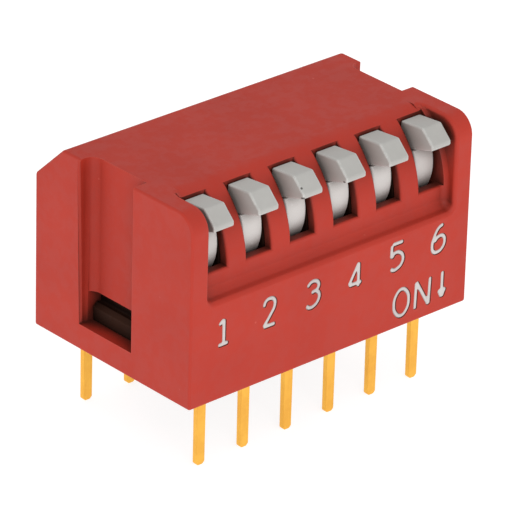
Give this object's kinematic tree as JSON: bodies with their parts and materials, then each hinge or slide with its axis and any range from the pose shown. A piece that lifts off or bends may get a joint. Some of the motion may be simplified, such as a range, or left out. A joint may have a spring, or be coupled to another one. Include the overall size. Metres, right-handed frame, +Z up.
{
  "type": "dip switch",
  "caption": "Piano-style DIP switch: a red cover clipped over a black base, a row of white side levers and two rows of flat gold pins",
  "frame": {"origin": "middle of the seating plane, which is the cover's lower rim", "axes": "+X along the row from lever 1 to the last lever, -Y towards the levers, +Z up from the board"},
  "size_m": [0.0164, 0.0104, 0.013],
  "materials": {
    "red_moulding": "satin moulded",
    "black_moulding": "satin moulded",
    "white_moulding": "satin moulded",
    "gold_plate": "satin gold plate",
    "contact_spring": "gold-plated spring sheet",
    "white_ink": "hot-stamped white"
  },
  "bodies": {
    "housing": {"cover": "red_moulding", "base": "black_moulding", "front_terminal_1": "gold_plate", "front_terminal_2": "gold_plate", "front_terminal_3": "gold_plate", "front_terminal_4": "gold_plate", "front_terminal_5": "gold_plate", "front_terminal_6": "gold_plate", "back_terminal_1": "gold_plate", "back_terminal_2": "gold_plate", "back_terminal_3": "gold_plate", "back_terminal_4": "gold_plate", "back_terminal_5": "gold_plate", "back_terminal_6": "gold_plate"},
    "rocker_1": {"lever_1": "white_moulding", "moving_contact_1": "contact_spring"},
    "rocker_2": {"lever_2": "white_moulding", "moving_contact_2": "contact_spring"},
    "rocker_3": {"lever_3": "white_moulding", "moving_contact_3": "contact_spring"},
    "rocker_4": {"lever_4": "white_moulding", "moving_contact_4": "contact_spring"},
    "rocker_5": {"lever_5": "white_moulding", "moving_contact_5": "contact_spring"},
    "rocker_6": {"lever_6": "white_moulding", "moving_contact_6": "contact_spring"}
  },
  "joints": [
    {"name": "lever_1_tilt", "type": "hinge", "parent": "housing", "child": "rocker_1", "pos_m": [-0.00635, -0.00185, 0.0068], "axis": [1, 0, 0], "range_deg": [0, 36]},
    {"name": "lever_2_tilt", "type": "hinge", "parent": "housing", "child": "rocker_2", "pos_m": [-0.00381, -0.00185, 0.0068], "axis": [1, 0, 0], "range_deg": [0, 36]},
    {"name": "lever_3_tilt", "type": "hinge", "parent": "housing", "child": "rocker_3", "pos_m": [-0.00127, -0.00185, 0.0068], "axis": [1, 0, 0], "range_deg": [0, 36]},
    {"name": "lever_4_tilt", "type": "hinge", "parent": "housing", "child": "rocker_4", "pos_m": [0.00127, -0.00185, 0.0068], "axis": [1, 0, 0], "range_deg": [0, 36]},
    {"name": "lever_5_tilt", "type": "hinge", "parent": "housing", "child": "rocker_5", "pos_m": [0.00381, -0.00185, 0.0068], "axis": [1, 0, 0], "range_deg": [0, 36]},
    {"name": "lever_6_tilt", "type": "hinge", "parent": "housing", "child": "rocker_6", "pos_m": [0.00635, -0.00185, 0.0068], "axis": [1, 0, 0], "range_deg": [0, 36]}
  ]
}
